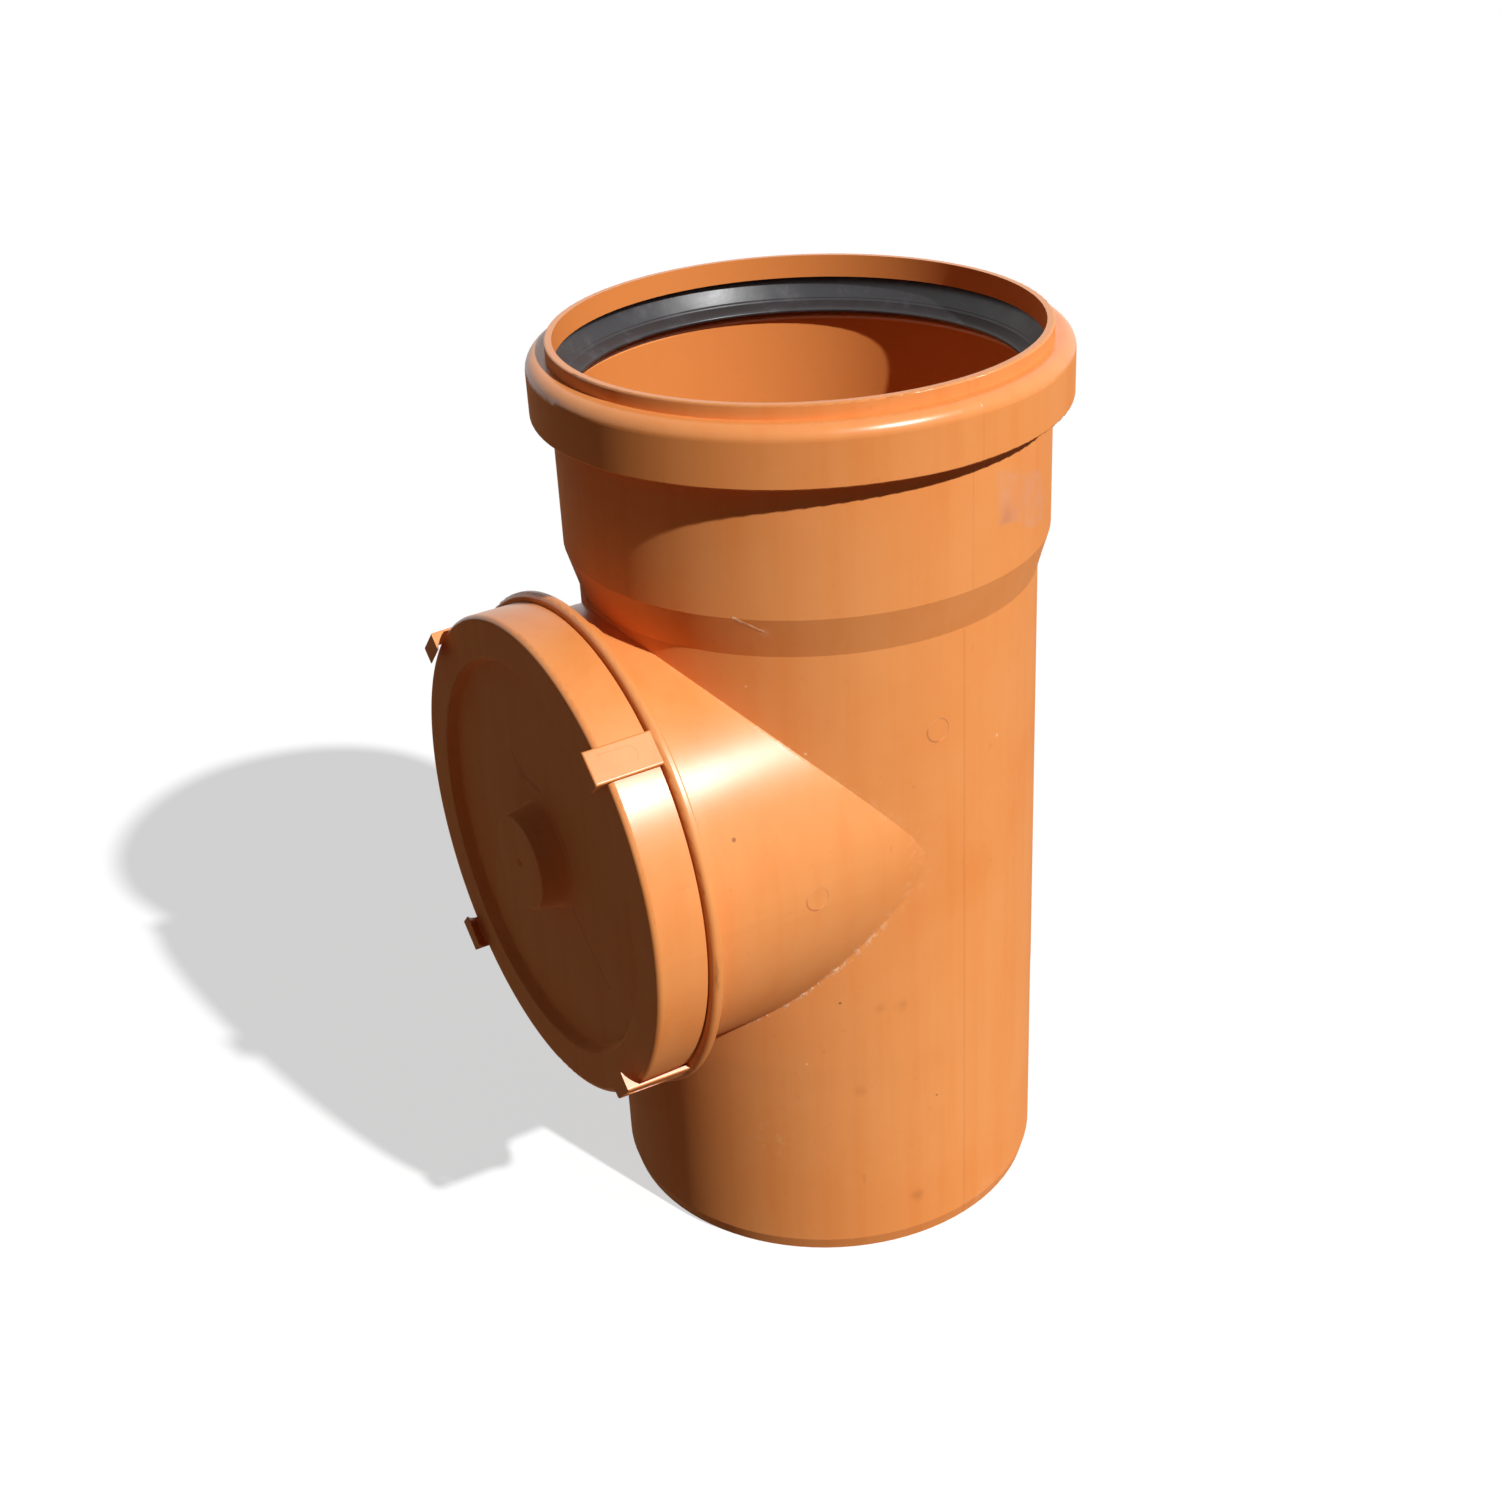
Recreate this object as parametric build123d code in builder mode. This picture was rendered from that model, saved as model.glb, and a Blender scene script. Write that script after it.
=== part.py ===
from build123d import *
import math
import os

# All sizes are in millimetres. The pipe's axis is Z and its plain end stands on Z = 0.
# The inspection branch points along -Y, with its own axis branch_axis_z above the floor.

# Pipe: a plain end that goes into the next socket, then the barrel
pipe_od = 200.0
pipe_wall = 4.9
spigot_length = 92.0
spigot_chamfer_length = 6.2
spigot_chamfer_angle = 15.0
barrel_growth = 0.15
barrel_blend = 12.0
barrel_top = 306.6

# Socket above the flare
flare_length = 18.3
socket_clearance = 0.6
socket_wall = 4.8
socket_length = 57.1
bore_mouth_round = 3.0

# Bead round the seal groove, and the thin lip above it
bead_height = 24.9
bead_overhang = 9.0
bead_wall = 4.2
bead_top_round = 6.0
bead_bottom_round = 0.8
groove_corner_round = 1.5
lip_height = 5.8
lip_clearance = 2.4
lip_wall = 3.2
lip_edge_round = 0.8

# Socket seal, drawn pressed back to the bore so that a pipe can pass: a slanted face, a step and a tip
seal_relief = 0.2
seal_play = 0.1
seal_face_setback = 4.8
seal_face_drop = 1.2
seal_face_height = 8.0
seal_face_relief = 0.8
seal_step_width = 1.1
seal_step_height = 0.8
seal_tip_height = 3.0
seal_undercut = 1.6
seal_foot_setback = 3.4

# Inspection branch: tube, collar and flange, with stations out from the pipe's skin
branch_axis_z = 204.7
branch_od = 199.4
branch_wall = 4.9
collar_start = 8.1
collar_length = 8.1
collar_step = 2.1
flange_thickness = 4.4
flange_rim = 1.4
flange_edge_round = 0.8
flange_front_round = 2.4

# Access lid: a skirt over the branch's end and a plug into its bore
lid_flange_gap = 0.7
lid_depth = 22.8
lid_wall = 4.5
lid_edge_round = 2.4
skirt_clearance = 3.3
plug_clearance = 0.3
plug_depth = 24.0
plug_wall = 3.7
recess_setback = 5.5
recess_depth = 5.5
recess_draft = 1.8
recess_edge_round = 0.8
recess_root_round = 1.2
boss_od = 47.2
boss_draft = 2.3
boss_height = 12.9
boss_wall = 4.0
boss_edge_round = 0.8
boss_root_round = 2.0
gate_mark_od = 4.4
gate_mark_depth = 1.2

# Lid seal, a flat ring between the branch's end and the lid
lid_seal_thickness = 3.6
lid_seal_play = 1.0

# Snap hooks that hold the lid
hook_count = 4
hook_first_angle = 46.2
hook_width = 14.9
hook_clearance = 0.6
hook_plate = 1.9
hook_lean = 1.0
barb_depth = 5.9
barb_reach = 8.2
barb_tip = 0.4
barb_hollow = 0.7
barb_play = 0.1
hook_edge_round = 0.8
hook_mark_length = 19.0
hook_mark_width = 8.6
hook_mark_depth = 0.25
hook_mark_margin = 2.5

# Faint round marks of the mould's pins: one on the barrel above the branch, one on the branch
pin_mark_od = 10.6
pin_mark_depth = 0.2
pin_mark_rise = 59.5
pin_mark_aside = 2.5
pin_mark_station = 63.7

# Radii and heights that follow from the sizes above
pipe_r = pipe_od / 2
bore_r = pipe_r - pipe_wall
barrel_r = pipe_r + barrel_growth
socket_bore_r = pipe_r + socket_clearance
socket_r = socket_bore_r + socket_wall
bead_r = socket_r + bead_overhang
groove_r = bead_r - bead_wall
lip_bore_r = pipe_r + lip_clearance
lip_r = lip_bore_r + lip_wall
seal_r = socket_bore_r + seal_relief

flare_top = barrel_top + flare_length
bead_bottom = flare_top + socket_length
bead_top = bead_bottom + bead_height
groove_bottom = bead_bottom + bead_wall
groove_top = bead_top - bead_wall
mouth = bead_top + lip_height

chamfer_drop = spigot_chamfer_length * math.tan(math.radians(spigot_chamfer_angle))
flare_shift = pipe_wall * math.tan(math.atan2(socket_r - pipe_r, flare_length) / 2)

# Radii round the branch's axis, and distances from the pipe's axis along it
branch_r = branch_od / 2
branch_bore_r = branch_r - branch_wall
collar_r = branch_r + collar_step
skirt_bore_r = branch_r + skirt_clearance
lid_r = skirt_bore_r + lid_wall
hook_inner_r = lid_r + hook_clearance
hook_outer_r = hook_inner_r + hook_plate
flange_r = hook_outer_r + flange_rim
plug_r = branch_bore_r - plug_clearance
recess_r = plug_r - recess_setback
boss_r = boss_od / 2
boss_front_r = boss_r - boss_draft

collar_rear = pipe_r + collar_start
flange_rear = collar_rear + collar_length
flange_front = flange_rear + flange_thickness
lid_rear = flange_front + lid_flange_gap
lid_front = lid_rear + lid_depth
lid_back = lid_front - lid_wall
branch_end = lid_back - lid_seal_thickness
plug_rear = branch_end - plug_depth
recess_floor = lid_front - recess_depth
boss_front = recess_floor + boss_height
hook_front = lid_front + barb_depth


def to_branch(shape):
    """Lay a shape drawn along Z over, so that it points along the branch."""
    return Pos(0, 0, branch_axis_z) * Rot(90, 0, 0) * shape


def corner(sketch, x, y):
    """The corner of a sketch nearest to its own point (x, y)."""
    return sketch.vertices().sort_by_distance((x, y, 0))[0]


# Branch tube with its collar and flange, drawn along Z
with BuildPart() as branch_tube:
    with BuildSketch(Plane.XZ) as branch_skin:
        with BuildLine():
            Polyline(
                (0, 0),
                (branch_r, 0),
                (branch_r, collar_rear),
                (collar_r, collar_rear),
                (collar_r, flange_rear),
                (flange_r, flange_rear),
                (flange_r, flange_front),
                (branch_r, flange_front),
                (branch_r, branch_end),
                (0, branch_end),
                close=True,
            )
        make_face()
        fillet(corner(branch_skin, flange_r, flange_rear), flange_edge_round)
        fillet(corner(branch_skin, flange_r, flange_front), flange_front_round)
    revolve(axis=Axis.Z)

# One snap hook: a plate out of the flange and a barb with a hollow back over the lid's front edge
hook_front_r = hook_outer_r - hook_lean
barb_r = hook_front_r - barb_reach
barb_tip_back = hook_front - barb_tip
barb_foot = lid_front + barb_play
barb_slant = math.atan2(barb_tip_back - barb_foot, hook_inner_r - barb_r)
barb_middle = (
    (barb_r + hook_inner_r) / 2 + barb_hollow * math.sin(barb_slant),
    (barb_tip_back + barb_foot) / 2 + barb_hollow * math.cos(barb_slant),
)
with BuildPart() as hook:
    with BuildSketch(Plane.XZ) as hook_side:
        with BuildLine():
            Polyline(
                (hook_inner_r, barb_foot),
                (hook_inner_r, flange_rear + flange_edge_round),
                (hook_outer_r, flange_rear + flange_edge_round),
                (hook_outer_r, flange_front),
                (hook_front_r, hook_front),
                (barb_r, hook_front),
                (barb_r, barb_tip_back),
            )
            ThreePointArc((barb_r, barb_tip_back), barb_middle, (hook_inner_r, barb_foot))
        make_face()
    extrude(amount=hook_width / 2, both=True)
    outer_face = hook.faces().filter_by(GeomType.PLANE).sort_by_distance(
        (hook_outer_r, 0, (flange_front + hook_front) / 2)
    )[0]
    rear_edge = outer_face.edges().sort_by(Axis.Z)[0]
    fillet([edge for edge in outer_face.edges() if edge != rear_edge], hook_edge_round)
    # Shallow sink mark, deepest at the hook's front and running out towards the flange
    mark_slope = math.atan2(hook_lean, hook_front - flange_front) + hook_mark_depth / hook_mark_length
    mark_along = (-math.sin(mark_slope), 0, math.cos(mark_slope))
    mark_outward = (math.cos(mark_slope), 0, math.sin(mark_slope))
    mark_start = (hook_front_r - hook_mark_depth, 0, hook_front - hook_mark_margin)
    with BuildSketch(Plane(mark_start, x_dir=mark_along, z_dir=mark_outward)):
        with Locations((-hook_mark_length / 2, 0)):
            SlotOverall(hook_mark_length, hook_mark_width)
    extrude(amount=hook_plate, mode=Mode.SUBTRACT)

# Bore of the branch, which opens into the pipe
with BuildPart() as branch_core:
    Cylinder(branch_bore_r, branch_end + 1, align=(Align.CENTER, Align.CENTER, Align.MIN))

# Body: one moulding of pipe, socket, bead, lip, branch and hooks
with BuildPart() as body:
    with BuildSketch(Plane.XZ) as skin:
        with BuildLine():
            Polyline(
                (0, 0),
                (pipe_r - chamfer_drop, 0),
                (pipe_r, spigot_chamfer_length),
                (pipe_r, spigot_length),
                (barrel_r, spigot_length + barrel_blend),
                (barrel_r, barrel_top),
                (socket_r, flare_top),
                (socket_r, bead_bottom),
                (bead_r, bead_bottom),
                (bead_r, bead_top),
                (lip_r, bead_top),
                (lip_r, mouth),
                (0, mouth),
                close=True,
            )
        make_face()
        fillet(corner(skin, bead_r, bead_top), bead_top_round)
        fillet(corner(skin, bead_r, bead_bottom), bead_bottom_round)
        fillet(corner(skin, lip_r, mouth), lip_edge_round)
    revolve(axis=Axis.Z)
    add(to_branch(branch_tube.part))
    for index in range(hook_count):
        turn = hook_first_angle + index * 360 / hook_count
        add(to_branch(Rot(0, 0, turn) * hook.part))

    # Bore, flare, socket and seal groove
    with BuildSketch(Plane.XZ) as hollow:
        with BuildLine():
            Polyline(
                (0, -1),
                (bore_r, -1),
                (bore_r, barrel_top - flare_shift),
                (socket_bore_r, flare_top - flare_shift),
                (socket_bore_r, groove_bottom),
                (groove_r, groove_bottom),
                (groove_r, groove_top),
                (lip_bore_r, groove_top),
                (lip_bore_r, mouth + 1),
                (0, mouth + 1),
                close=True,
            )
        make_face()
        fillet(corner(hollow, socket_bore_r, groove_bottom), bore_mouth_round)
        fillet(corner(hollow, groove_r, groove_bottom), groove_corner_round)
        fillet(corner(hollow, groove_r, groove_top), groove_corner_round)
    revolve(axis=Axis.Z, mode=Mode.SUBTRACT)
    add(to_branch(branch_core.part), mode=Mode.SUBTRACT)

    # Marks of the mould's pins
    barrel_mark = Pos(barrel_r - pin_mark_depth, -pin_mark_aside, branch_axis_z + pin_mark_rise)
    branch_mark = Pos(branch_r - pin_mark_depth, -pin_mark_station, branch_axis_z)
    with Locations(barrel_mark * Rot(0, 90, 0), branch_mark * Rot(0, 90, 0)):
        Cylinder(
            pin_mark_od / 2,
            collar_start,
            align=(Align.CENTER, Align.CENTER, Align.MIN),
            mode=Mode.SUBTRACT,
        )

# Rubber ring in the socket's groove: a heel at the back and a sealing face to the bore
heel_r = groove_r - seal_play
seal_top = groove_top - seal_play
seal_tip = groove_bottom + seal_tip_height
face_top_r = lip_bore_r + seal_face_setback
face_top = seal_top - seal_face_drop
face_foot_r = seal_r + seal_face_relief
face_foot = face_top - seal_face_height
with BuildPart() as socket_seal:
    with BuildSketch(Plane.XZ) as seal_section:
        with BuildLine():
            Polyline(
                (heel_r, groove_bottom + groove_corner_round),
                (heel_r, seal_top - groove_corner_round),
                (heel_r - groove_corner_round, seal_top),
                (face_top_r, seal_top),
                (face_top_r, face_top),
                (face_foot_r, face_foot),
                (face_foot_r + seal_step_width, face_foot - seal_step_height),
                (seal_r, seal_tip),
                (seal_r + seal_undercut, seal_tip - seal_undercut),
                (seal_r + seal_foot_setback, groove_bottom),
                (heel_r - groove_corner_round, groove_bottom),
                close=True,
            )
        make_face()
    revolve(axis=Axis.Z)

# Lid: a cap over the branch's end, with a plug into its bore and a boss on its face
with BuildPart() as lid:
    with BuildSketch(Plane.XZ) as lid_section:
        with BuildLine():
            Polyline(
                (0, boss_front - gate_mark_depth),
                (gate_mark_od / 2, boss_front),
                (boss_front_r, boss_front),
                (boss_r, recess_floor),
                (recess_r - recess_draft, recess_floor),
                (recess_r, lid_front),
                (lid_r, lid_front),
                (lid_r, lid_rear),
                (skirt_bore_r, lid_rear),
                (skirt_bore_r, lid_back),
                (plug_r, lid_back),
                (plug_r, plug_rear),
                (plug_r - plug_wall, plug_rear),
                (plug_r - plug_wall, recess_floor - lid_wall),
                (boss_r - boss_wall, recess_floor - lid_wall),
                (boss_front_r - boss_wall, boss_front - boss_wall),
                (0, boss_front - boss_wall),
                close=True,
            )
        make_face()
        fillet(corner(lid_section, boss_front_r, boss_front), boss_edge_round)
        fillet(corner(lid_section, boss_r, recess_floor), boss_root_round)
        fillet(corner(lid_section, recess_r - recess_draft, recess_floor), recess_root_round)
        fillet(corner(lid_section, recess_r, lid_front), recess_edge_round)
        fillet(corner(lid_section, lid_r, lid_front), lid_edge_round)
    revolve(axis=Axis.Z)

# Flat rubber ring between the branch's end and the lid
with BuildPart() as ring:
    with BuildSketch(Plane.XY.offset(branch_end)):
        Circle(skirt_bore_r - lid_seal_play)
        Circle(plug_r + lid_seal_play, mode=Mode.SUBTRACT)
    extrude(amount=lid_seal_thickness)

pieces = {
    "body": body.part,
    "socket_seal": socket_seal.part,
    "access_lid": to_branch(lid.part),
    "lid_seal": to_branch(ring.part),
}
os.makedirs("parts", exist_ok=True)
for name, solid in pieces.items():
    solid.label = name
    export_step(solid, f"parts/{name}.step")
    box = solid.bounding_box()
    print(name, round(solid.volume), "mm3", box.min, box.max)
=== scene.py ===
import math
from types import SimpleNamespace

import bmesh
import bpy
from mathutils import Matrix, Vector


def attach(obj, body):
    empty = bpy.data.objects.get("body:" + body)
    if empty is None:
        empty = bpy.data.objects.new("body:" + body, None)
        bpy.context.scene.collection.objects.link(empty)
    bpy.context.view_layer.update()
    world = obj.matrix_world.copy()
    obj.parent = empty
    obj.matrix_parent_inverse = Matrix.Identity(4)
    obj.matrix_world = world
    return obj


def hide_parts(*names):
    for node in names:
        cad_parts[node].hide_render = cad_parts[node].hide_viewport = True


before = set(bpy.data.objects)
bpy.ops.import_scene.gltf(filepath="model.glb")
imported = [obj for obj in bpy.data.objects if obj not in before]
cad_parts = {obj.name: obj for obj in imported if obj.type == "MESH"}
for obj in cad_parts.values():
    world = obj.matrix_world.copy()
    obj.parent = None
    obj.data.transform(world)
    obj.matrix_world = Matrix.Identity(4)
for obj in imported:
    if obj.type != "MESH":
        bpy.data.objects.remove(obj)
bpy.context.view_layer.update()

# Camera, as worked out from the photo: it looks at TARGET from DISTANCE away
TARGET = Vector((-0.00317, -0.03249, 0.21986))
DISTANCE = 0.94419
AZIMUTH = math.radians(59.947)
ELEVATION = math.radians(28.200)
ROLL = math.radians(-3.161)
LENS = 50.094

# Light: a key lamp that stands for the sun, a faint fill, and a floor that glows a little where it is seen
KEY_AZIMUTH = math.radians(15.1)
KEY_ELEVATION = math.radians(41.5)
KEY_WIDTH = math.radians(1.5)
KEY_LEVEL = 4.1
FILL_LEVEL = 0.04
FLOOR_SIZE = 40.0
FLOOR_GLOW = 0.62

# Sizes of the part that the finishes follow, in metres
BRANCH_Z = 0.2047
PIPE_R = 0.10015
PIPE_SKIN = (0.0985, 0.0988)
BRANCH_R = 0.0997
BRANCH_SKIN = (0.0985, 0.0990)
COLLAR_END = (0.1125, 0.1130)
SOCKET_SKIN = (0.1040, 0.1045)
CHAMFER_TOP = 0.0062
FLARE_BAND = (0.300, 0.310)
BEAD_BOTTOM = 0.3820
LID_FACE_R = (0.1045, 0.1065)

# How far the moulded rim and branch lean in towards the lid, as a slope
DRAFT = 0.055

# Gloss: how far up a face has to look to keep it, and the roughness and specular level of both kinds
GLOSS_BAND = (0.06, 0.40)
ROUGH_DULL, ROUGH_GLOSSY = 0.75, 0.30
SPECULAR_DULL, SPECULAR_GLOSSY = 0.2, 0.5
GRAIN_ROUGHNESS = (-0.01, 0.02)

# Outline of the socket's seal at rest, its lip standing into the bore: radius and height in millimetres
SEAL_OUTLINE = (
    (110.1, 386.5),
    (110.1, 402.4),
    (107.4, 402.4),
    (106.9, 401.2),
    (101.5, 393.4),
    (100.9, 393.1),
    (100.4, 392.4),
    (96.3, 390.3),
    (95.2, 389.5),
    (95.2, 388.5),
    (96.6, 388.2),
    (102.0, 389.0),
    (104.4, 386.5),
)
SEAL_ROUND = 0.35
SEAL_STEPS = 256


def linear(red, green, blue):
    """An sRGB colour of 0 to 255 as the linear colour that a shader takes."""
    def one(value):
        value /= 255
        return value / 12.92 if value <= 0.04045 else ((value + 0.055) / 1.055) ** 2.4
    return (one(red), one(green), one(blue), 1.0)


PVC = linear(236, 154, 88)
PVC_DEEP = linear(231, 141, 72)
# Painted shade for the inside of the pipe and the faces that look down
PVC_INSIDE_SHADE = linear(217, 130, 62)
# Smudge and grime colour, which also paints the shade on one side of the pin rings
PVC_SMUDGE_AND_SHADE = linear(172, 92, 48)
PVC_CHALK = linear(238, 184, 140)
RESIDUE = linear(222, 163, 136)
SPECK_DARK = linear(96, 48, 30)
SPECK_PALE = linear(252, 214, 176)
RUBBER = linear(41, 40, 43)
RUBBER_DUST = linear(92, 90, 92)
FLOOR_PALE = linear(174, 174, 174)
FLOOR_BOUNCE = linear(94, 66, 49)

# Parting line of the mould: its angle round the pipe, how far it steps back on the bead (both in degrees)
# and how far it reaches to each side
PARTING_ANGLE = 6.6
PARTING_STEP = 1.5
PARTING_REACH = 0.0011

# Specks on the body: centre, radius, colour
SPECKS = (
    ((0.0926, -0.0976, 0.2416), 0.0013, SPECK_DARK),
    ((0.0573, -0.1175, 0.2986), 0.0009, SPECK_DARK),
    ((0.0881, -0.0472, 0.1393), 0.0009, SPECK_DARK),
    ((0.1000, -0.0045, 0.0780), 0.0007, SPECK_DARK),
    ((0.0563, -0.0628, 0.2870), 0.0008, SPECK_PALE),
    ((0.0677, -0.0738, 0.2928), 0.0006, SPECK_PALE),
    ((0.0949, 0.0317, 0.2488), 0.0009, SPECK_PALE),
    ((0.0828, -0.0563, 0.2629), 0.0008, SPECK_PALE),
    ((0.0798, -0.0603, 0.1071), 0.0007, SPECK_PALE),
    ((0.0867, -0.0498, 0.0028), 0.0010, SPECK_PALE),
)

# Smudges on the lower pipe: centre and radius
SMUDGES = (
    ((0.0977, -0.0218, 0.1333), 0.0050),
    ((0.0950, -0.0310, 0.1340), 0.0040),
    ((0.0915, -0.0405, 0.0910), 0.0045),
    ((0.0761, -0.0650, 0.0898), 0.0040),
    ((0.0989, -0.0155, 0.0245), 0.0060),
)

# Pale residue on the socket: the heights of its lower and upper edge, the angles of its two sides round the
# pipe in degrees, the slope of its edges in metres a degree, their waviness, and its dirtier lower corner
RESIDUE_LOW = (0.3465, 0.3495)
RESIDUE_HIGH = (0.3690, 0.3725)
RESIDUE_START = (13.4, 15.4)
RESIDUE_END = (33.5, 39.5)
RESIDUE_SLOPE = 0.00065
RESIDUE_WAVE = 0.012
RESIDUE_CORNER = (0.1010, 0.0310, 0.3490)
RESIDUE_CORNER_R = 0.0110

# Pale rubbed places: centre and radius
RUBS = (
    ((0.0673, -0.0741, 0.0629), 0.0160),
    ((0.0967, 0.0256, 0.0050), 0.0100),
    ((0.0907, 0.0422, 0.0050), 0.0100),
)

# Rings left by ejector pins: centre and radius
PIN_MARKS = (
    ((0.0998, -0.0025, 0.2642), 0.0053),
    ((0.0996, -0.0637, 0.2047), 0.0053),
)

# Ends of the scratch on the flare, and of the fine flow lines on the lid's face
SCRATCH = ((0.0697, -0.0790, 0.3250), (0.0775, -0.0697, 0.3188))
FLOW_LINES = (
    ((0.0215, -0.1386, 0.1872), (0.0380, -0.1386, 0.1714)),
    ((0.0380, -0.1386, 0.1714), (0.0506, -0.1386, 0.1627)),
    ((-0.0257, -0.1386, 0.2434), (-0.0179, -0.1386, 0.2365)),
    ((-0.0179, -0.1386, 0.2365), (0.0002, -0.1386, 0.2353)),
)


class Graph:
    """A small helper that adds shader nodes to a material or world and links them by socket."""

    def __init__(self, owner):
        owner.use_nodes = True
        self.tree = owner.node_tree
        self.tree.nodes.clear()

    def node(self, kind, **settings):
        made = self.tree.nodes.new(kind)
        for name, value in settings.items():
            setattr(made, name, value)
        return made

    def put(self, socket, value):
        if isinstance(value, bpy.types.NodeSocket):
            self.tree.links.new(value, socket)
        else:
            socket.default_value = value

    def math(self, operation, a, b=0.0, c=0.0, clamp=False):
        made = self.node("ShaderNodeMath", operation=operation, use_clamp=clamp)
        self.put(made.inputs[0], a)
        self.put(made.inputs[1], b)
        self.put(made.inputs[2], c)
        return made.outputs[0]

    def product(self, *values):
        total = values[0]
        for value in values[1:]:
            total = self.math("MULTIPLY", total, value)
        return total

    def highest(self, *values):
        total = values[0]
        for value in values[1:]:
            total = self.math("MAXIMUM", total, value)
        return total

    def ramp(self, value, low, high, to_low=0.0, to_high=1.0):
        """A smooth step of value between low and high."""
        made = self.node("ShaderNodeMapRange", interpolation_type="SMOOTHSTEP")
        self.put(made.inputs["Value"], value)
        self.put(made.inputs["From Min"], low)
        self.put(made.inputs["From Max"], high)
        self.put(made.inputs["To Min"], to_low)
        self.put(made.inputs["To Max"], to_high)
        return made.outputs["Result"]

    def noise(self, point, scale, detail=3.0, rough=0.5, stretch=None):
        made = self.node("ShaderNodeTexNoise")
        if stretch:
            mapped = self.node("ShaderNodeMapping")
            self.put(mapped.inputs["Vector"], point)
            mapped.inputs["Scale"].default_value = stretch
            point = mapped.outputs[0]
        self.put(made.inputs["Vector"], point)
        made.inputs["Scale"].default_value = scale
        made.inputs["Detail"].default_value = detail
        made.inputs["Roughness"].default_value = rough
        return made.outputs["Fac"]

    def mix(self, factor, a, b):
        """Colour a turning to colour b as factor goes from 0 to 1, on the node's own colour sockets."""
        made = self.node("ShaderNodeMix", data_type="RGBA")
        self.put(made.inputs[0], factor)
        self.put(made.inputs[6], a)
        self.put(made.inputs[7], b)
        return made.outputs[2]

    def bump(self, height, distance, normal=None):
        """A bump of the surface whose full height is distance, in metres."""
        made = self.node("ShaderNodeBump")
        self.put(made.inputs["Height"], height)
        made.inputs["Strength"].default_value = 1.0
        made.inputs["Distance"].default_value = distance
        if normal:
            self.put(made.inputs["Normal"], normal)
        return made.outputs["Normal"]

    def vector(self, operation, a, b=(0, 0, 0), output="Vector"):
        made = self.node("ShaderNodeVectorMath", operation=operation)
        self.put(made.inputs[0], a)
        self.put(made.inputs[1], b)
        return made.outputs[output]

    def distance(self, point, centre):
        return self.vector("DISTANCE", point, centre, "Value")

    def to_line(self, point, start, end):
        """The distance from point to the straight line between start and end."""
        run = Vector(end) - Vector(start)
        offset = self.vector("SUBTRACT", point, start)
        along = self.vector("DOT_PRODUCT", offset, run / run.length_squared, "Value")
        along = self.math("MULTIPLY", along, 1.0, clamp=True)
        scaled = self.node("ShaderNodeVectorMath", operation="SCALE")
        scaled.inputs[0].default_value = run
        self.put(scaled.inputs["Scale"], along)
        return self.distance(offset, scaled.outputs[0])

    def spot(self, point, centre, radius, edge=0.5):
        """1 inside a ball of this radius, fading to 0 over its outer part."""
        return self.ramp(self.distance(point, centre), radius * (1 - edge), radius, 1.0, 0.0)

    def finish(self, **sockets):
        """A principled shader, with each socket named as in Blender but with _ for a space."""
        shader = self.node("ShaderNodeBsdfPrincipled")
        for name, value in sockets.items():
            self.put(shader.inputs[name.replace("_", " ")], value)
        out = self.node("ShaderNodeOutputMaterial")
        self.put(out.inputs["Surface"], shader.outputs[0])

    def seen(self):
        """1 for a ray of the camera, gloss or glass, and 0 for the light that bounces between surfaces."""
        rays = self.node("ShaderNodeLightPath").outputs
        return self.highest(rays["Is Camera Ray"], rays["Is Glossy Ray"], rays["Is Transmission Ray"])


def split(g, point):
    """The three coordinates of point."""
    parts = g.node("ShaderNodeSeparateXYZ")
    g.put(parts.inputs[0], point)
    return parts.outputs


def across(g, a, b):
    """The length of the diagonal of sides a and b."""
    return g.math("SQRT", g.math("ADD", g.product(a, a), g.product(b, b)))


def branch_distance(g, point):
    """Distance in metres from the branch's axis."""
    x, y, z = split(g, point)
    return across(g, x, g.math("SUBTRACT", z, BRANCH_Z))


def survey(g):
    """Where the shaded point is on the body, and the noises that its marks share."""
    point = g.node("ShaderNodeTexCoord").outputs["Object"]
    x, y, z = split(g, point)
    outward = g.node("ShaderNodeNewGeometry").outputs["Normal"]
    return SimpleNamespace(
        point=point,
        y=y,
        z=z,
        angle=g.math("DEGREES", g.math("ARCTAN2", y, x)),
        radius=across(g, x, y),
        branch_radius=branch_distance(g, point),
        away=g.vector("DOT_PRODUCT", outward, point, "Value"),
        fray=g.noise(point, 420.0, 4.0, 0.65),
        cloudy=g.noise(point, 90.0, 2.0, 0.5),
        chalk=g.noise(point, 260.0, 5.0, 0.75),
    )


def moulded_base(g, point, normal):
    """Colour and skin that every PVC piece has: cloudy pigment and a faint orange peel over normal."""
    cloud = g.noise(point, 14.0, 4.0, 0.55)
    streak = g.noise(point, 90.0, 3.0, 0.6, stretch=(1.0, 1.0, 0.05))
    deep = g.math("ADD", g.ramp(cloud, 0.35, 0.7, 0.0, 0.6), g.ramp(streak, 0.4, 0.75, 0.0, 0.4))
    colour = g.mix(deep, PVC, PVC_DEEP)
    grime = g.noise(point, 160.0, 5.0, 0.7)
    colour = g.mix(g.ramp(grime, 0.62, 0.78, 0.0, 0.25), colour, PVC_SMUDGE_AND_SHADE)
    skin = g.noise(point, 30.0, 2.0, 0.4)
    grain = g.noise(point, 900.0, 2.0, 0.5)
    normal = g.bump(skin, 0.00012, normal)
    normal = g.bump(grain, 0.000006, normal)
    return colour, normal, grain


def drafted(g, share):
    """The surface's normal, leant towards the lid by the mould's draft where share is 1."""
    normal = g.node("ShaderNodeNewGeometry").outputs["Normal"]
    lean = g.node("ShaderNodeCombineXYZ")
    g.put(lean.inputs["Y"], g.math("MULTIPLY", share, -DRAFT))
    return g.vector("NORMALIZE", g.vector("ADD", normal, lean.outputs[0]))


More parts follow.
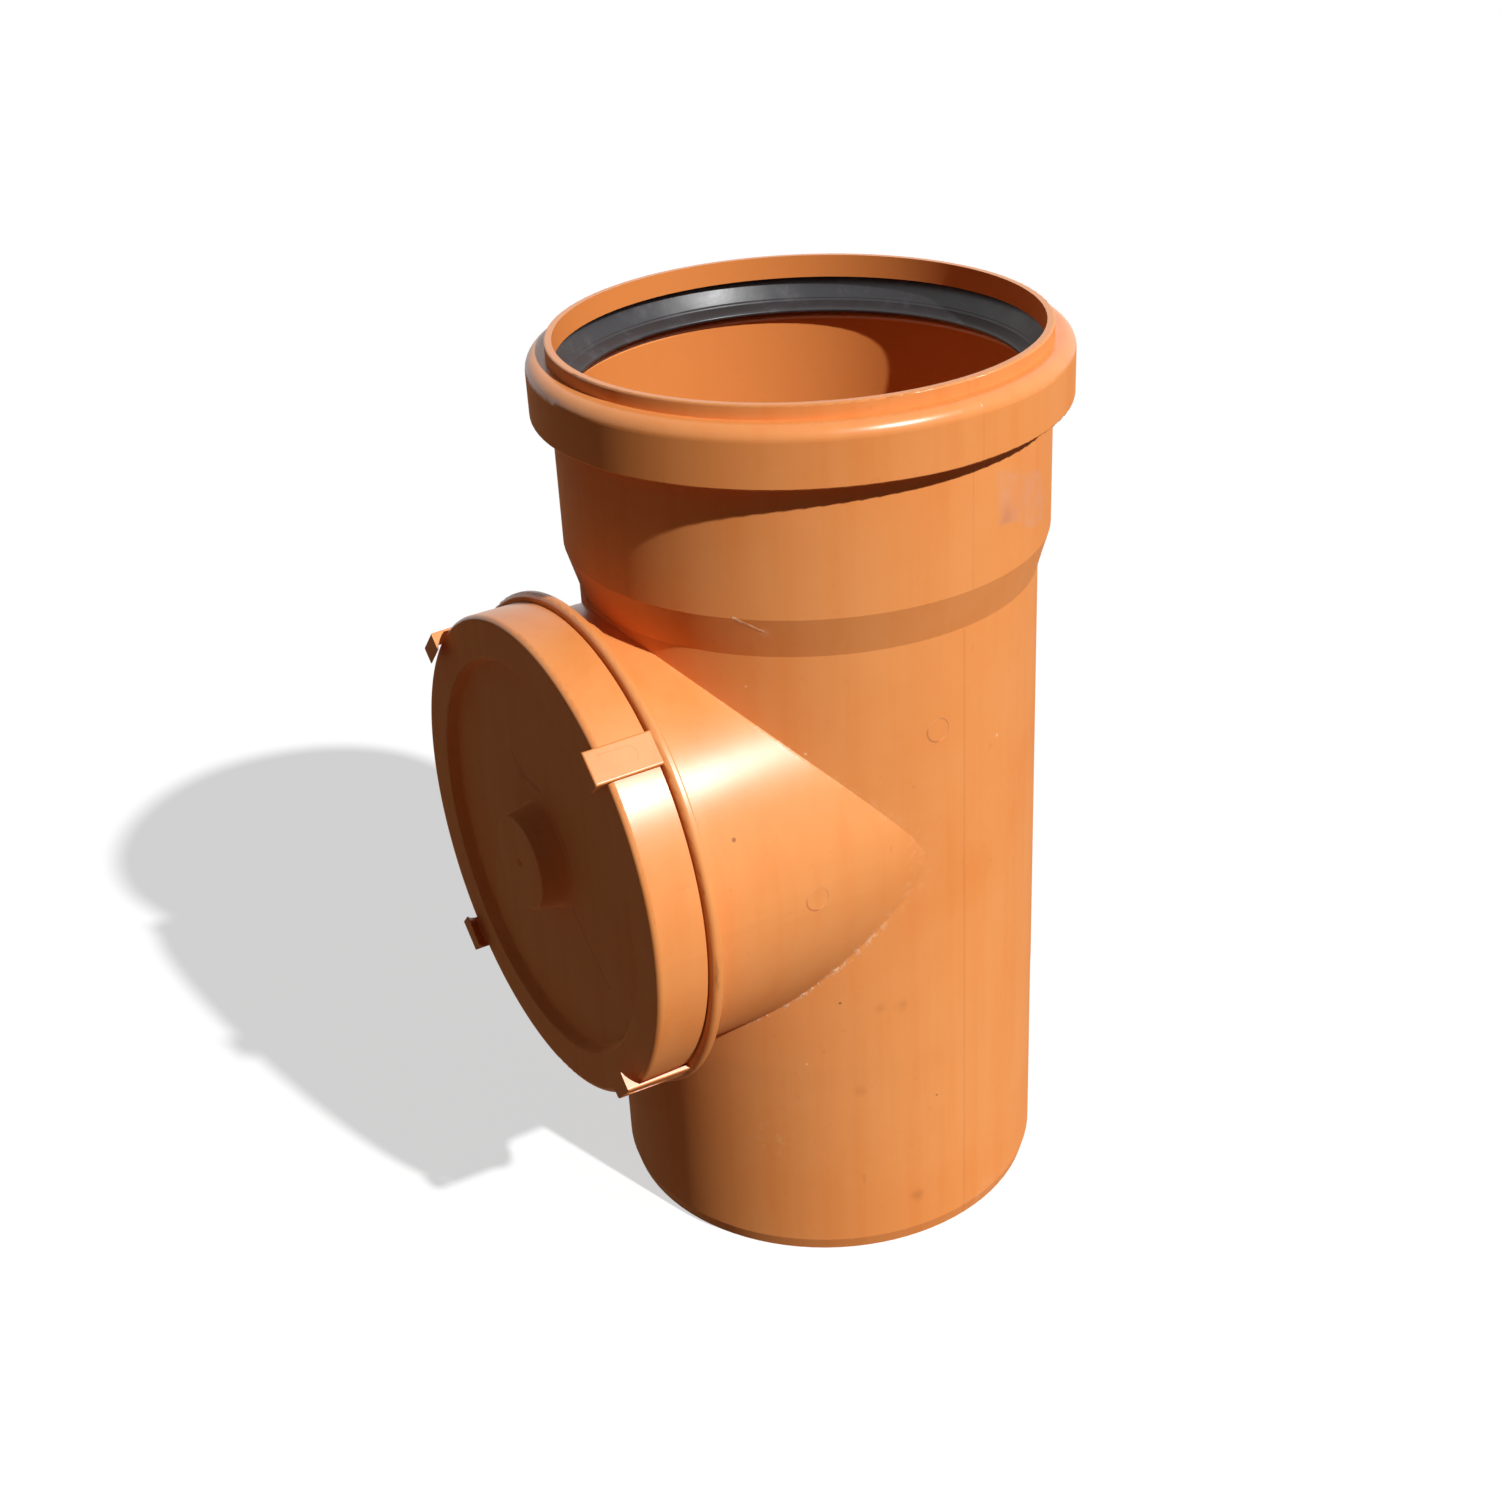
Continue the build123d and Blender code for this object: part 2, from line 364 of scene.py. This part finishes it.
def finish_pvc(g, colour, normal, matt, dull=0.0):
    """Faces that look up keep their moulded gloss, and the rest are dulled, as is all where dull is 1."""
    upward = split(g, g.node("ShaderNodeNewGeometry").outputs["Normal"])[2]
    upward = g.math("SUBTRACT", upward, dull)
    dulled = g.ramp(upward, *GLOSS_BAND, ROUGH_DULL, ROUGH_GLOSSY)
    g.finish(
        Base_Color=colour,
        Roughness=g.math("ADD", dulled, matt),
        Normal=normal,
        IOR=1.53,
        Specular_IOR_Level=g.ramp(upward, *GLOSS_BAND, SPECULAR_DULL, SPECULAR_GLOSSY),
    )


def on_branch(g, at):
    """1 on the outside of the branch and its collar, and 0 on the rest of the body."""
    return g.product(
        g.ramp(at.radius, 0.1004, 0.1012),
        g.ramp(at.branch_radius, *BRANCH_SKIN),
        g.ramp(at.branch_radius, *COLLAR_END, 1.0, 0.0),
        g.ramp(at.y, -0.04, -0.03, 1.0, 0.0),
    )


def parting_line(g, at, colour):
    """Parting line of the mould down both sides of the pipe, with the flash trimmed off."""
    on_bead = g.ramp(at.z, BEAD_BOTTOM - 0.0005, BEAD_BOTTOM + 0.0005)
    line_angle = g.math("SUBTRACT", PARTING_ANGLE, g.product(on_bead, PARTING_STEP))
    side = g.math("WRAP", g.math("SUBTRACT", at.angle, line_angle), 90.0, -90.0)
    aside = g.product(g.math("ABSOLUTE", g.math("RADIANS", side)), at.radius)
    outside = g.product(g.ramp(at.radius, *PIPE_SKIN), g.ramp(at.away, 0.05, 0.06))
    flash = g.product(g.ramp(aside, 0.0, PARTING_REACH, 1.0, 0.0), outside)
    trimmed = g.product(flash, g.ramp(at.fray, 0.3, 0.7, 0.5, 1.0))
    share = g.ramp(at.z, *FLARE_BAND, 0.14, 0.07)
    return g.mix(g.product(flash, share), colour, PVC_SMUDGE_AND_SHADE), trimmed


def crusts(g, at, colour):
    """Pale crusts left along the join of branch and pipe, most of them under the branch."""
    off_pipe = g.math("ABSOLUTE", g.math("SUBTRACT", at.radius, PIPE_R))
    off_branch = g.math("ABSOLUTE", g.math("SUBTRACT", at.branch_radius, BRANCH_R))
    seam = g.ramp(g.math("MAXIMUM", off_pipe, off_branch), 0.0004, 0.0016, 1.0, 0.0)
    crust = g.product(
        seam,
        g.ramp(at.z, 0.150, 0.185, 1.0, 0.12),
        g.ramp(g.noise(at.point, 300.0, 4.0, 0.7), 0.50, 0.60),
        g.ramp(at.y, -0.02, 0.0, 1.0, 0.0),
    )
    return g.mix(g.product(crust, 0.8), colour, SPECK_PALE), crust


def residue(g, at, colour):
    """Pale residue on the socket, dirtier at its lower corner."""
    slant = g.product(g.math("SUBTRACT", at.angle, 14.0), RESIDUE_SLOPE)
    wave = g.product(g.math("SUBTRACT", g.noise(at.point, 60.0, 2.0, 0.5), 0.5), RESIDUE_WAVE)
    height = g.math("ADD", g.math("ADD", at.z, slant), wave)
    patch = g.product(
        g.ramp(height, *RESIDUE_LOW),
        g.ramp(height, *RESIDUE_HIGH, 1.0, 0.0),
        g.ramp(at.angle, *RESIDUE_START),
        g.ramp(at.angle, *RESIDUE_END, 1.0, 0.0),
        g.ramp(at.radius, *SOCKET_SKIN),
        g.ramp(at.cloudy, 0.35, 0.65, 0.35, 1.0),
    )
    colour = g.mix(g.product(patch, g.ramp(at.angle, 16.0, 30.0, 0.46, 0.36)), colour, RESIDUE)
    corner = g.product(g.spot(at.point, RESIDUE_CORNER, RESIDUE_CORNER_R, 1.0), patch)
    return g.mix(g.product(corner, 0.30), colour, PVC_SMUDGE_AND_SHADE), patch


def scratch_line(g, at, colour):
    """Scratch across the flare, with a little skin lifted at its lower end."""
    scratch = g.ramp(g.to_line(at.point, *SCRATCH), 0.0004, 0.0009, 1.0, 0.0)
    scratch = g.product(scratch, g.ramp(at.fray, 0.40, 0.55, 0.35, 1.0))
    colour = g.mix(g.product(scratch, 0.75), colour, SPECK_PALE)
    lifted = g.spot(at.point, SCRATCH[1], 0.0030, 0.6)
    lifted = g.product(lifted, g.ramp(at.fray, 0.3, 0.5, 0.5, 1.0))
    return g.mix(g.product(lifted, 0.15), colour, SPECK_PALE), scratch


def wear(g, at, colour):
    """Smudges, rubbed places, the worn chamfer and specks."""
    for centre, reach in SMUDGES:
        mark = g.product(g.spot(at.point, centre, reach, 1.0), g.ramp(at.cloudy, 0.35, 0.65))
        colour = g.mix(g.product(mark, 0.40), colour, PVC_SMUDGE_AND_SHADE)
    for centre, reach in RUBS:
        mark = g.product(g.spot(at.point, centre, reach, 0.9), g.ramp(at.chalk, 0.50, 0.66))
        colour = g.mix(g.product(mark, 0.35), colour, PVC_CHALK)
    chamfer = g.ramp(at.z, CHAMFER_TOP, CHAMFER_TOP + 0.0006, 1.0, 0.0)
    worn = g.product(chamfer, g.ramp(at.chalk, 0.56, 0.68))
    colour = g.mix(g.product(worn, 0.30), colour, PVC_CHALK)
    for centre, reach, shade in SPECKS:
        colour = g.mix(g.product(g.spot(at.point, centre, reach), 0.6), colour, shade)
    return colour


def pin_rings(g, at, colour):
    """Rings of the ejector pins: a pale ring, with painted shade on its side towards the lid and the floor.
    """
    for centre, reach in PIN_MARKS:
        off_ring = g.math("ABSOLUTE", g.math("SUBTRACT", g.distance(at.point, centre), reach))
        ring = g.ramp(off_ring, 0.0001, 0.0006, 1.0, 0.0)
        offset = g.vector("SUBTRACT", at.point, centre)
        toward = g.vector("DOT_PRODUCT", offset, (0.0, -0.8, -0.6), "Value")
        colour = g.mix(g.product(ring, 0.18), colour, PVC_CHALK)
        # Painted shade: each ring is darker on its side towards the lid and the floor
        painted_shade = g.product(ring, g.ramp(toward, 0.3 * reach, 0.8 * reach))
        colour = g.mix(g.product(painted_shade, 0.65), colour, PVC_SMUDGE_AND_SHADE)
    return colour


def body_material():
    material = bpy.data.materials.new("pvc_body")
    g = Graph(material)
    at = survey(g)
    colour, normal, grain = moulded_base(g, at.point, drafted(g, on_branch(g, at)))
    colour, trimmed = parting_line(g, at, colour)

    # Painted shade: the inside of the pipe, and faces that look down under the bead and branch, are a
    # little deeper in colour than the outside
    colour = g.mix(g.ramp(at.away, -0.06, -0.05, 0.8, 0.0), colour, PVC_INSIDE_SHADE)

    colour, crust = crusts(g, at, colour)
    colour, patch = residue(g, at, colour)
    colour, scratch = scratch_line(g, at, colour)
    colour = wear(g, at, colour)
    colour = pin_rings(g, at, colour)
    normal = g.bump(g.highest(trimmed, crust, scratch), 0.00016, normal)
    matt = g.math("ADD", g.ramp(grain, 0.3, 0.7, *GRAIN_ROUGHNESS), g.product(patch, 0.2))
    finish_pvc(g, colour, normal, matt)
    return material


def lid_material():
    material = bpy.data.materials.new("pvc_lid")
    g = Graph(material)
    point = g.node("ShaderNodeTexCoord").outputs["Object"]
    colour, normal, grain = moulded_base(g, point, drafted(g, 1.0))
    lines = [
        g.ramp(g.to_line(point, start, end), 0.0002, 0.0013, 1.0, 0.0) for start, end in FLOW_LINES
    ]
    smear = g.product(g.spot(point, FLOW_LINES[2][1], 0.0060, 0.9), 0.6)
    flow = g.highest(*lines, smear)
    colour = g.mix(g.product(flow, 0.5), colour, PVC_SMUDGE_AND_SHADE)
    normal = g.bump(flow, 0.00006, normal)
    matt = g.ramp(grain, 0.3, 0.7, *GRAIN_ROUGHNESS)
    face = g.ramp(branch_distance(g, point), *LID_FACE_R, 1.0, 0.0)
    finish_pvc(g, colour, normal, matt, face)
    return material


def rubber_material():
    material = bpy.data.materials.new("rubber_black")
    g = Graph(material)
    point = g.node("ShaderNodeTexCoord").outputs["Object"]
    fine = g.noise(point, 260.0, 3.0, 0.6)
    cloud = g.noise(point, 70.0, 4.0, 0.6)
    dust = g.product(g.ramp(cloud, 0.45, 0.72), g.ramp(fine, 0.35, 0.65))
    colour = g.mix(g.product(dust, 0.35), RUBBER, RUBBER_DUST)
    rough = g.ramp(cloud, 0.35, 0.65, 0.34, 0.42)
    normal = g.bump(fine, 0.00003)
    g.finish(Base_Color=colour, Roughness=rough, Normal=normal, IOR=1.5, Specular_IOR_Level=0.55)
    return material


def rounded(outline, reach, steps=4):
    """The closed outline with each corner turned into a short curve that starts reach before it."""
    made = []
    for index, corner in enumerate(outline):
        corner = Vector(corner)
        before = Vector(outline[index - 1]) - corner
        after = Vector(outline[(index + 1) % len(outline)]) - corner
        start = corner + before.normalized() * min(reach, before.length / 2)
        end = corner + after.normalized() * min(reach, after.length / 2)
        for step in range(steps + 1):
            t = step / steps
            made.append(start * (1 - t) ** 2 + corner * 2 * t * (1 - t) + end * t ** 2)
    return made


def lathe(name, outline, steps):
    """A ring turned round the Z axis from a closed outline of radius and height in millimetres."""
    points = []
    for step in range(steps):
        angle = 2 * math.pi * step / steps
        for radius, height in outline:
            x = radius * math.cos(angle)
            y = radius * math.sin(angle)
            points.append((x / 1000, y / 1000, height / 1000))
    faces = []
    count = len(outline)
    for step in range(steps):
        here = step * count
        there = (step + 1) % steps * count
        for index in range(count):
            other = (index + 1) % count
            faces.append((here + index, here + other, there + other, there + index))
    mesh = bpy.data.meshes.new(name)
    mesh.from_pydata(points, [], faces)
    made = bmesh.new()
    made.from_mesh(mesh)
    bmesh.ops.remove_doubles(made, verts=made.verts, dist=1e-6)
    bmesh.ops.recalc_face_normals(made, faces=made.faces)
    made.to_mesh(mesh)
    made.free()
    mesh.polygons.foreach_set("use_smooth", [True] * len(mesh.polygons))
    ring = bpy.data.objects.new(name, mesh)
    bpy.context.scene.collection.objects.link(ring)
    return ring


rubber = rubber_material()
for node, material in (
    ("body", body_material()),
    ("access_lid", lid_material()),
    ("socket_seal", rubber),
    ("lid_seal", rubber),
):
    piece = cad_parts[node]
    piece.data.materials.clear()
    piece.data.materials.append(material)

# The socket's seal as it stands with no pipe in it, in place of the solid that is pressed back
free_seal = lathe("socket_seal_free", rounded(SEAL_OUTLINE, SEAL_ROUND), SEAL_STEPS)
free_seal.data.materials.append(rubber)
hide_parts("socket_seal")
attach(free_seal, "root")

# Floor: pale to the camera, with the object's shadow on it, and duller to the light that bounces off it
bpy.ops.mesh.primitive_plane_add(size=FLOOR_SIZE, location=(0, 0, 0))
floor = bpy.context.object
floor.name = "floor"
floor_paint = bpy.data.materials.new("floor_paint")
g = Graph(floor_paint)
seen = g.seen()
g.finish(
    Base_Color=g.mix(seen, FLOOR_BOUNCE, FLOOR_PALE),
    Roughness=1.0,
    Specular_IOR_Level=0.0,
    Emission_Color=(1, 1, 1, 1),
    Emission_Strength=g.math("MULTIPLY", seen, FLOOR_GLOW),
)
floor.data.materials.append(floor_paint)

# World: soft fill on the part, and white where the camera, gloss or glass sees it
world = bpy.data.worlds.new("studio")
bpy.context.scene.world = world
g = Graph(world)
sky = g.node("ShaderNodeBackground")
sky.inputs["Color"].default_value = (1, 1, 1, 1)
g.put(sky.inputs["Strength"], g.ramp(g.seen(), 0.0, 1.0, FILL_LEVEL, 1.0))
surround = g.node("ShaderNodeOutputWorld")
g.put(surround.inputs["Surface"], sky.outputs[0])

# Key lamp
toward = Vector((
    math.cos(KEY_ELEVATION) * math.cos(KEY_AZIMUTH),
    math.cos(KEY_ELEVATION) * math.sin(KEY_AZIMUTH),
    math.sin(KEY_ELEVATION),
))
lamp = bpy.data.lights.new("key", "SUN")
lamp.energy = KEY_LEVEL
lamp.angle = KEY_WIDTH
key = bpy.data.objects.new("key", lamp)
key.rotation_mode = "QUATERNION"
key.rotation_quaternion = toward.to_track_quat("Z", "Y")
bpy.context.scene.collection.objects.link(key)

# Camera
back = Vector((
    math.sin(AZIMUTH) * math.cos(ELEVATION),
    -math.cos(AZIMUTH) * math.cos(ELEVATION),
    math.sin(ELEVATION),
))
level = Vector((0, 0, 1)).cross(back).normalized()
upright = back.cross(level)
right = math.cos(ROLL) * level + math.sin(ROLL) * upright
up = -math.sin(ROLL) * level + math.cos(ROLL) * upright
turned = Matrix((right, up, back)).transposed().to_4x4()
eye = bpy.data.cameras.new("photo_view")
eye.lens = LENS
eye.sensor_width = 36.0
eye.clip_start = 0.01
eye.clip_end = 50.0
camera = bpy.data.objects.new("photo_view", eye)
camera.matrix_world = Matrix.Translation(TARGET + back * DISTANCE) @ turned
bpy.context.scene.collection.objects.link(camera)
bpy.context.scene.camera = camera

bpy.context.scene.view_settings.view_transform = "Standard"
